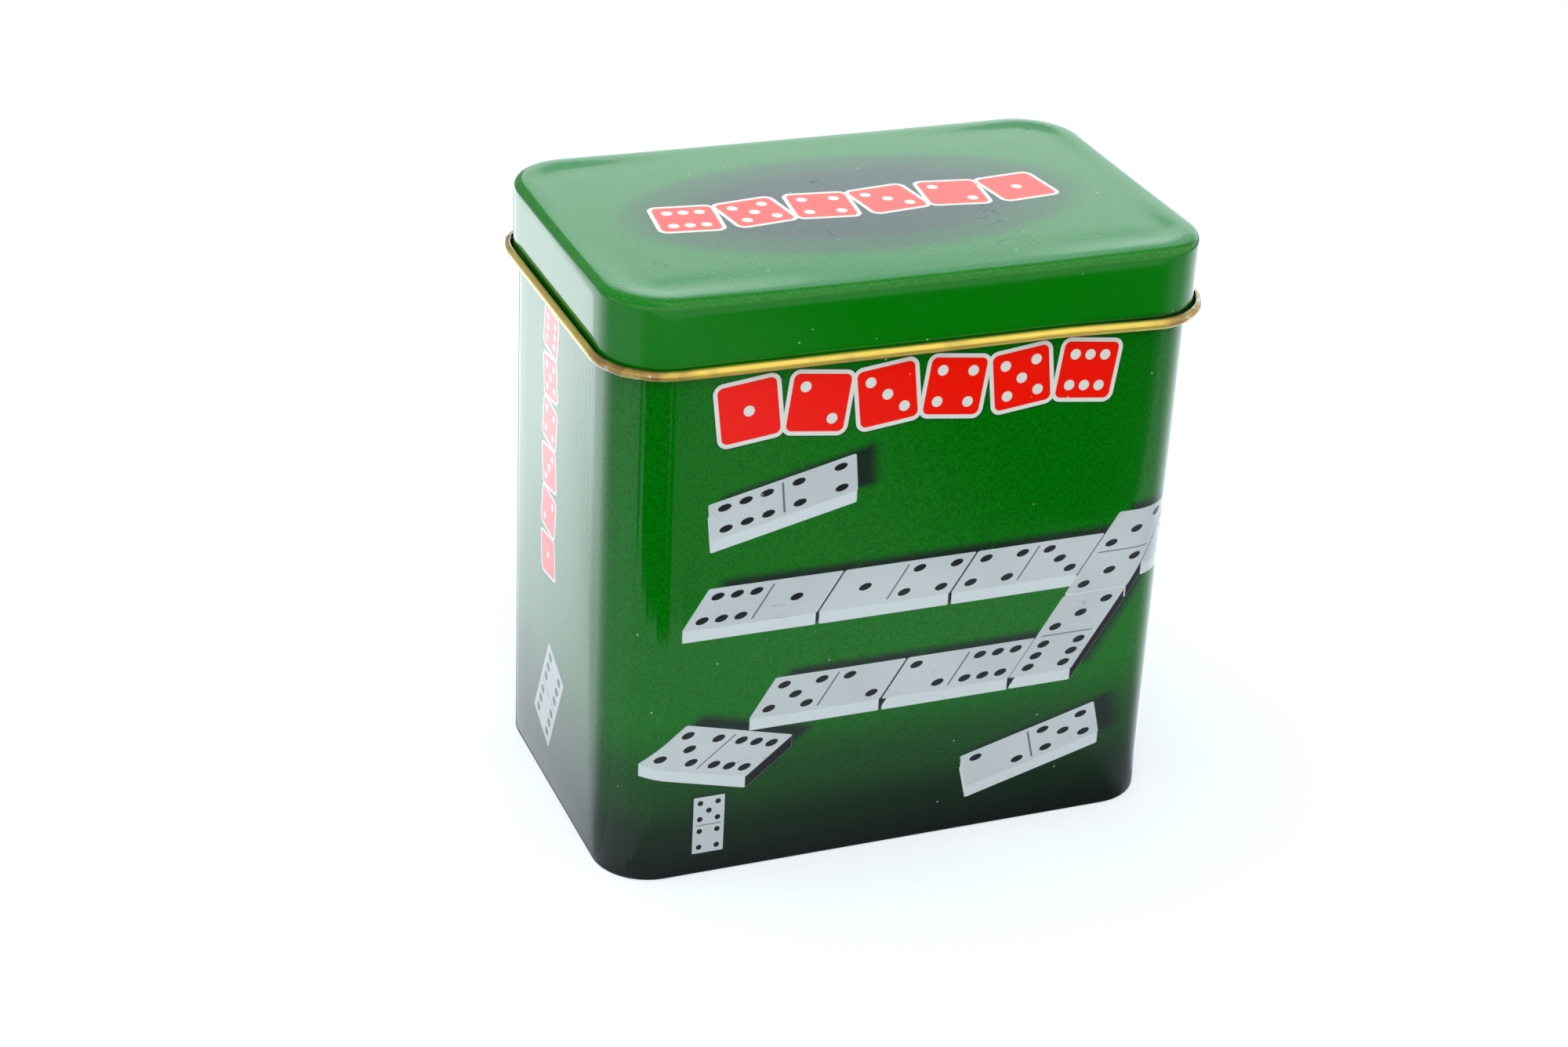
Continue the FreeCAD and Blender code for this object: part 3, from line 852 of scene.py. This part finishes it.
def add_tile(g, group, place, tile, earlier, oblique=True):
    """Adds one printed tile of a list like PRINT_TILES to those before it, lying obliquely or flat."""
    along, up, turn, size, low, high = tile
    turned = Matrix.Rotation(math.radians(turn), 3, "Z")
    middle, drop, cast, shaded = Vector((along, up, 0)), Vector((0, 0, 0)), Vector((0, 0, 0)), 0
    if oblique:
        middle = on_table(along, up)
        drop = on_table(*PRINT_THICKNESS_MM) @ turned
        cast = on_table(*PRINT_SHADOW_MM) @ turned
        slants = [math.copysign(turned[0][n], drop[n] * turned[0][n]) for n in (0, 1)]
        shaded = int(slants[0] > DARK_END_SLANT) - int(slants[1] > DARK_END_SLANT)
    own = {"Middle": middle, "Turn": (0, 0, math.radians(turn)), "Size": (size, size, 1)}
    own |= {"Shaded": shaded, "Own_Counts": (low, high, 0)}
    carried = {name: earlier[name] for name in TILE_OUTPUTS}
    return g.use(group, Place=place, Drop=drop, Cast=cast, **own, **carried)


def wall_print(groups):
    """The wall's glossy print: green fading to near black at the foot, rows of red blocks, and pale tiles.
    The print repeats half way round, so the back is like the front and the right side like the left."""
    material, g, shader = new_material("wall_print", IOR=VARNISH_IOR)
    along, up, _ = g.parts(g.sheet_place())
    half = PERIMETER / MM / 2
    front = g.math("WRAP", along, half - PRINT_START_MM, -PRINT_START_MM)
    grain = g.use(groups["grain"], Place=g.place())
    tiles = {name: (0, 0, 0) if name in VECTORS else 0.0 for name in TILE_OUTPUTS}
    on_front = g.joined(front, up)
    for tile in FLAT_TILES:
        tiles = add_tile(g, groups["tile"], on_front, tile, tiles, oblique=False)
    depth = g.divided(up, PRINT_SQUASH)
    lean = g.times(up, PRINT_SHEAR)
    oblique = g.joined(g.minus(front, lean), depth)
    for tile in PRINT_TILES:
        tiles = add_tile(g, groups["tile"], oblique, tile, tiles)
    tiles = add_tile(g, groups["tile"], g.joined(g.minus(along, lean), depth), CORNER_TILE, tiles)
    dots = g.use(groups["tile dots"], Tile_Place=tiles["Tile Place"], Counts=tiles["Counts"])[0]
    colour = g.colours(g.divided(up, FADE_HEIGHT_MM), GREEN_FADE)
    colour = g.mix(1.0, colour, grain["Tone"], "MULTIPLY")
    face_tone = g.mix(1.0, TILE_GREY, g.spread(grain["Unevenness"], 0.94, 1.05), "MULTIPLY")
    colour = g.mix(g.times(tiles["Shadow"], 0.92), colour, INK_AND_PAINTED_SHADE)
    colour = g.mix(tiles["Side"], colour, g.mix(tiles["Shade"], TILE_SIDE_GREY, INK_AND_PAINTED_SHADE))
    colour = g.mix(tiles["Face"], colour, face_tone)
    colour = g.mix(g.times(dots, tiles["Face"]), colour, INK_AND_PAINTED_SHADE)
    row_place = g.joined(front, g.minus(up, FRONT_ROW_HEIGHT_MM))
    side_place = g.joined(g.minus(up, SIDE_ROW_HEIGHT_MM), g.minus(SIDE_ROW_PLACE_MM, front))
    on_side = g.above(front, PRINT_START_MM)
    place = g.choose(on_side, row_place, g.scaled(side_place, 1 / SIDE_ROW_SHARE))
    colour = add_blocks(g, colour, g.use(groups["row"], Place=place))
    from_bend = g.absolute(g.plus(front, CORE_X / MM + 4.0))
    finish_print(g, shader, colour, grain, groups, along, g.fall(from_bend, 3.0, 6.0))
    return material


def finish_print(g, shader, colour, grain, groups, along=None, bends=None):
    """The varnish over a print: gloss, fine peel, handling marks, and faint bending marks at the corners."""
    place = g.place()
    marks = g.use(groups["marks"], Place=place)
    colour = g.mix(g.times(marks["Specks"], 0.5), colour, OFF_WHITE)
    colour = g.mix(g.times(marks["Scratches"], 0.55), colour, INK_AND_PAINTED_SHADE)
    g.feed(shader["Base Color"], colour)
    rough = g.spread(grain["Unevenness"], 0.07, 0.11)
    g.feed(shader["Roughness"], g.times_plus(marks["Scratches"], 0.25, rough))
    height = grain["Height"]
    if along is not None:
        streaks = g.noise(g.joined(g.times(along, 0.62), 0.0), 1.0, 1.0)
        height = g.times_plus(streaks, g.times_plus(bends, BEND_MARK, 1.5), height)
    g.feed(shader["Normal"], g.bump(height, 0.006 * MM))


def lid_print(groups):
    """The lid's glossy print: green with a soft dark oval on top and a row of red blocks across it, and
    painted shade that darkens it to near black in the crevice above the curl.
    """
    material, g, shader = new_material("lid_print", IOR=VARNISH_IOR)
    place = g.place()
    grain = g.use(groups["grain"], Place=place)
    x, y, z = g.parts(g.scaled(place, 1 / MM))
    oval = g.vector("LENGTH", g.joined(g.divided(x, OVAL_HALF_MM[0]), g.divided(y, OVAL_HALF_MM[1])))
    colour = g.colours(oval, OVAL_FADE)
    colour = g.mix(1.0, colour, grain["Tone"], "MULTIPLY")
    on_top = g.above(z, TIN_TOP / MM - 1.0)
    row_place = g.joined(g.times(x, -1.0), g.times(y, -1.0))
    printed = add_blocks(g, colour, g.use(groups["row"], Place=row_place))
    colour = g.mix(on_top, LID_GREEN, printed)
    # Painted shade: the print darkens to near black in the crevice where the skirt meets the curl
    groove = LID_FOOT / MM + 2 * LID_CURL / MM
    colour = g.mix(g.ramp(z, groove - 1.0, groove + 0.6, 0.85, 0.0), colour, INK_AND_PAINTED_SHADE)
    finish_print(g, shader, colour, grain, groups)
    return material


def gold_lacquer():
    """Gold lacquer over tinplate, with drawn streaks along the sheet and worn spots on the curled corners."""
    coat = {"Coat_Weight": 1.0, "Coat_Roughness": 0.25, "Coat_IOR": 1.7}
    material, g, shader = new_material("gold_lacquer", Metallic=1.0, **coat)
    place = g.place()
    along, up, _ = g.parts(g.sheet_place())
    streak = g.noise(g.joined(g.times(along, 0.06), g.times(up, 5.0)), 1.0, 3.0)
    blotch = g.noise(place, 140.0, 4.0)
    colour = g.mix(g.spread(streak), GOLD_DEEP, GOLD_PALE)
    colour = g.mix(g.ramp(blotch, 0.56, 0.76, 0.0, 0.4), colour, GOLD_DARK)
    x, y, _ = g.parts(g.scaled(place, 1 / MM))
    past_x = g.ramp(g.absolute(x), CORE_X / MM - 4.0, CORE_X / MM + 5.0)
    past_y = g.ramp(g.absolute(y), CORE_Y / MM - 4.0, CORE_Y / MM + 5.0)
    corner = g.times(past_x, past_y)
    worn = g.times(corner, g.ramp(g.noise(place, 420.0, 3.0), 0.60, 0.66))
    tarnish = g.times(corner, g.ramp(g.noise(place, 300.0, 4.0), 0.36, 0.58, 0.5, 0.95))
    colour = g.mix(tarnish, colour, GOLD_DARK)
    colour = g.mix(worn, colour, TIN_SILVER)
    g.feed(shader["Base Color"], colour)
    g.feed(shader["Roughness"], g.spread(g.noise(place, 90.0, 3.0), 0.40, 0.50))
    g.feed(shader["Normal"], g.bump(g.plus(streak, g.noise(place, 700.0, 2.0)), 0.01 * MM))
    return material


def cut_steel():
    """The bare cut edge of the sheet, with shear marks across it."""
    material, g, shader = new_material("cut_steel", Metallic=1.0)
    place = g.place()
    marks = g.noise(g.vector("MULTIPLY", place, (1.0, 1.0, 0.2)), 3000.0, 2.0)
    g.feed(shader["Base Color"], g.mix(g.spread(marks), STEEL_DARK, STEEL))
    g.feed(shader["Roughness"], g.spread(marks, 0.32, 0.5))
    return material


def tile_plastic(groups):
    """Moulded plastic with faint flow clouds, fine handling scratches and a soft gloss."""
    material, g, shader = new_material("tile_plastic", IOR=PLASTIC_IOR)
    place = g.place()
    cloud = g.noise(place, 45.0, 4.0)
    colour = g.mix(g.spread(cloud), IVORY_CLOUD, IVORY)
    marks = g.use(groups["marks"], Place=place)
    colour = g.mix(g.times(marks["Scratches"], 0.25), colour, IVORY_SCRATCH)
    g.feed(shader["Base Color"], colour)
    rough = g.spread(g.noise(place, 260.0, 3.0), 0.24, 0.36)
    g.feed(shader["Roughness"], g.times_plus(marks["Scratches"], 0.2, rough))
    g.feed(shader["Normal"], g.bump(g.noise(place, 520.0, 2.0), 0.006 * MM))
    return material


def pip_paint():
    """The black paint in the pips, a little uneven where it pooled."""
    material, g, shader = new_material("pip_paint")
    place = g.place()
    pool = g.noise(place, 600.0, 3.0)
    g.feed(shader["Base Color"], g.mix(g.spread(pool), PIP_BLACK, PIP_WORN))
    g.feed(shader["Roughness"], g.spread(pool, 0.25, 0.45))
    g.feed(shader["Normal"], g.bump(pool, 0.02 * MM))
    return material


def dress(piece, materials, body, node):
    """Gives a piece its materials and its body, and hides the solid that it stands for."""
    for material in materials:
        piece.data.materials.append(material)
    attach(piece, body)
    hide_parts(node)


def build_pieces():
    rounded_box, pips = rounded_box_group(), pip_group()
    groups = {
        "tile": tile_print_group(rounded_box),
        "tile dots": tile_dots_group(pips),
        "row": block_row_group(rounded_box, pips),
        "grain": print_grain_group(),
        "marks": handling_group(),
    }
    lacquer, edge = gold_lacquer(), cut_steel()
    plastic, paint = tile_plastic(groups), pip_paint()
    dress(printed_wall(), [wall_print(groups), lacquer, edge], "tin", "tin_wall")
    dress(printed_lid(), [lid_print(groups), lacquer, edge], "lid", "lid")
    dress(lacquered_base(), [lacquer, edge], "tin", "tin_base")
    counts = range(HIGHEST_PIP_COUNT + 1)
    for low, high in [(low, high) for low in counts for high in counts if low <= high]:
        node = f"tile_{low}_{high}"
        tile = tile_mesh(f"domino_{low}_{high}", *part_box(node), (low, high))
        dress(tile, [plastic, paint], node, node)


# The studio
CAMERA_AZIMUTH_DEGREES = -22.527
CAMERA_ELEVATION_DEGREES = 27.229
CAMERA_ROLL_DEGREES = 2.991
# Right, up and back from the middle of the tin, before the roll
CAMERA_PLACE = (-0.010104, -0.007383, 0.612254)
CAMERA_LENS_MM = 71.486
CAMERA_SENSOR_MM = 36
FLOOR_HALF = 3.0
FLOOR_GLOW = (0.53, 1.0)
ROOM_LIGHT = 0.55
MIDDLE = (0, 0, 0.06)
WHITE = (1, 1, 1)
BLACK = (0, 0, 0)
# Soft lights that light the surfaces, and those that show as gloss alone: name, place, size, power, colour
LIGHTS = [
    ("key", (-0.30, 0.30, 1.0), (1.0, 1.0), 4.2, WHITE),
    ("fill", (-0.25, -0.95, 0.85), (0.9, 0.9), 6.8, WHITE),
]
GLOSS_LIGHTS = [
    ("front_box", (-0.25, -0.95, 0.85), (0.9, 0.9), 6.2, WHITE),
    ("back_box", (0.62, 0.84, 0.42), (1.13, 0.75), 2.35, (0.62, 0.98, 1.0)),
]
CARD_HEIGHT = 0.0004
CARD_COLOUR = (0.87, 0.94, 1.0)
DARK_CARD = [(-0.33, -0.32), (0.50, -0.32), (0.30, -0.197), (0.17, -0.155), (0.0, -0.127), (-0.33, -0.127)]
LEFT_CARD = [(-0.40, -0.10), (-0.0577, -0.10), (-0.0577, 0.6), (-0.40, 0.6)]
RIGHT_CARD = [(0.0585, -0.15), (0.45, -0.15), (0.45, 0.45), (0.0585, 0.45)]
FOOT_CARD = [(-0.0575, -0.085), (0.058, -0.085), (0.058, -0.0345), (-0.0575, -0.0345)]
BACK_FLAG = [(-2.5, 1.3, 0.03), (0.16, 1.3, 0.03), (0.16, 1.3, 1.6), (-2.5, 1.3, 1.6)]
TOP_FLAG = [(-3.0, -1.0), (-0.25, -1.0), (-0.25, 0.05), (3.0, 0.05), (3.0, 2.0), (-3.0, 2.0)]
TOP_FLAG_HEIGHT = 1.1
FLAG_GREY = 0.50
HAZE = 0.32
LEFT_GLOW = (2.7, 3.05)
RIGHT_GLOW = 2.0


def photo_camera():
    """The camera at the photograph's angle, distance and roll."""
    aim = Matrix.Translation((0, 0, TIN_TOP / 2))
    aim @= Matrix.Rotation(math.radians(CAMERA_AZIMUTH_DEGREES), 4, "Z")
    aim @= Matrix.Rotation(math.radians(90 - CAMERA_ELEVATION_DEGREES), 4, "X")
    roll = Matrix.Rotation(math.radians(CAMERA_ROLL_DEGREES), 4, "Z")
    data = bpy.data.cameras.new("photo_camera")
    data.lens = CAMERA_LENS_MM
    data.sensor_width = CAMERA_SENSOR_MM
    data.clip_start = 0.01
    camera = bpy.data.objects.new("photo_camera", data)
    camera.matrix_world = aim @ Matrix.Translation(CAMERA_PLACE) @ roll
    bpy.context.scene.collection.objects.link(camera)
    bpy.context.scene.camera = camera


def stage_sheet(name, corners, material):
    """A flat sheet of the stage. Corners without a height lie just above the floor."""
    mesh = bpy.data.meshes.new(name)
    mesh.from_pydata([(*corner, CARD_HEIGHT)[:3] for corner in corners], [], [range(len(corners))])
    mesh.materials.append(material)
    made = bpy.data.objects.new(name, mesh)
    bpy.context.scene.collection.objects.link(made)
    return made


def gloss_only(thing):
    """Shows a card or light in reflections alone."""
    for rays in ("camera", "diffuse", "shadow", "transmission"):
        setattr(thing, f"visible_{rays}", False)


def floor():
    """A plain white floor that keeps the tin's shadow and is white to the camera elsewhere."""
    even = {"Base_Color": FLOOR_COLOUR, "Roughness": 0.9, "Emission_Color": WHITE}
    material, g, shader = new_material("white_floor", Specular_IOR_Level=0.0, **even)
    seen = g.node("ShaderNodeLightPath").outputs["Is Camera Ray"]
    far = g.vector("LENGTH", g.place())
    g.feed(shader["Emission Strength"], g.times(seen, g.ramp(far, 0.4, 1.8, *FLOOR_GLOW)))
    signs = [(-1, -1), (1, -1), (1, 1), (-1, 1)]
    stage_sheet("floor", [(x * FLOOR_HALF, y * FLOOR_HALF, 0) for x, y in signs], material)


def new_card(name, corners, paint):
    """A card that shows in reflections alone. Its paint gives glow and cover."""
    even = {"Base_Color": BLACK, "Emission_Color": CARD_COLOUR}
    material, g, shader = new_material(name, Specular_IOR_Level=0.0, **even)
    x, y, _ = g.parts(g.place())
    strength, cover = paint(g, x, y)
    g.feed(shader["Emission Strength"], strength)
    g.feed(shader["Alpha"], cover)
    gloss_only(stage_sheet(name, corners, material))


def dark_paint(g, x, y):
    """Dark, with a little haze left of the middle and far from the front left corner of the tin. It fades out
    towards either side, as the two front corners see it."""
    from_corner = g.vector("DISTANCE", g.joined(x, y), (-CORE_X, -CORE_Y, 0))
    haze = g.larger(g.ramp(x, -0.03, 0.0), g.ramp(from_corner, 0.240, 0.252))
    forwards = g.minus(-CORE_Y, y)
    to_right = g.divided(g.minus(x, CORE_X), forwards)
    to_left = g.divided(g.minus(-CORE_X, x), forwards)
    cover = g.times(g.fall(to_right, 0.36, 1.6), g.fall(to_left, 0.7, 1.9))
    return g.times(haze, g.ramp(x, 0.03, 0.10, HAZE, 0.0)), cover


def left_paint(g, x, y):
    """Bright at the back, fading forwards, and past the line that the left side's front edge mirrors."""
    slant = g.times_plus(y, 0.338, x)
    edge = g.plus(slant, g.ramp(y, 0.185, 0.20, 0.0, 0.002))
    heading = g.divided(g.plus(x, CORE_X), g.plus(y, CORE_Y))
    ending = g.plus(g.ramp(edge, -0.0674, -0.0648, 0.0, 0.6), g.ramp(heading, -2.2, -0.43, 0.0, 0.4))
    return g.ramp(y, 0.10, 0.22, *LEFT_GLOW), g.times(g.ramp(y, -0.10, 0.19), ending)


def right_paint(g, x, y):
    """Bright towards the back, as the front right corner sees it."""
    heading = g.divided(g.plus(y, CORE_Y), g.minus(x, CORE_X))
    return RIGHT_GLOW, g.ramp(heading, -0.5, 0.45)


def foot_shade_paint(g, x, y):
    """Painted shade seen in reflections alone: a dark veil over the floor along the front of the foot,
    standing in for the tin's shadow there, denser to the right until it ends.
    """
    across = g.times(g.ramp(x, -0.03, 0.05, 0.25, 0.55), g.fall(x, 0.050, 0.058))
    return 0.0, g.times(g.ramp(y, -0.068, -0.040), across)


def flag_paint(g, x, y):
    """An even grey."""
    return FLAG_GREY, 1.0


def soft_light(name, place, size, power, colour):
    """A soft light aimed at the middle of the tin."""
    data = bpy.data.lights.new(name, "AREA")
    data.shape = "RECTANGLE"
    data.size, data.size_y = size
    data.energy = power
    data.color = colour
    light = bpy.data.objects.new(name, data)
    light.location = place
    light.rotation_mode = "QUATERNION"
    light.rotation_quaternion = (Vector(MIDDLE) - Vector(place)).to_track_quat("-Z", "Y")
    light.visible_camera = False
    bpy.context.scene.collection.objects.link(light)
    return light


def studio():
    world = bpy.data.worlds.new("white_room")
    bpy.context.scene.world = world
    world.use_nodes = True
    g = Graph(world.node_tree)
    path = g.node("ShaderNodeLightPath").outputs
    background = world.node_tree.nodes["Background"]
    shown = g.larger(path["Is Camera Ray"], path["Is Glossy Ray"])
    shown = g.larger(shown, path["Is Transmission Ray"])
    g.feed(background.inputs["Color"], WHITE)
    g.feed(background.inputs["Strength"], g.ramp(shown, 0.0, 1.0, ROOM_LIGHT, 1.0))
    floor()
    new_card("dark_card", DARK_CARD, dark_paint)
    new_card("left_card", LEFT_CARD, left_paint)
    new_card("right_card", RIGHT_CARD, right_paint)
    new_card("foot_card", FOOT_CARD, foot_shade_paint)
    new_card("back_flag", BACK_FLAG, flag_paint)
    new_card("top_flag", [(x, y, TOP_FLAG_HEIGHT) for x, y in TOP_FLAG], flag_paint)
    for light in LIGHTS:
        soft_light(*light).visible_glossy = False
    for light in GLOSS_LIGHTS:
        gloss_only(soft_light(*light))
    bpy.context.scene.view_settings.view_transform = "Standard"


build_pieces()
studio()
photo_camera()
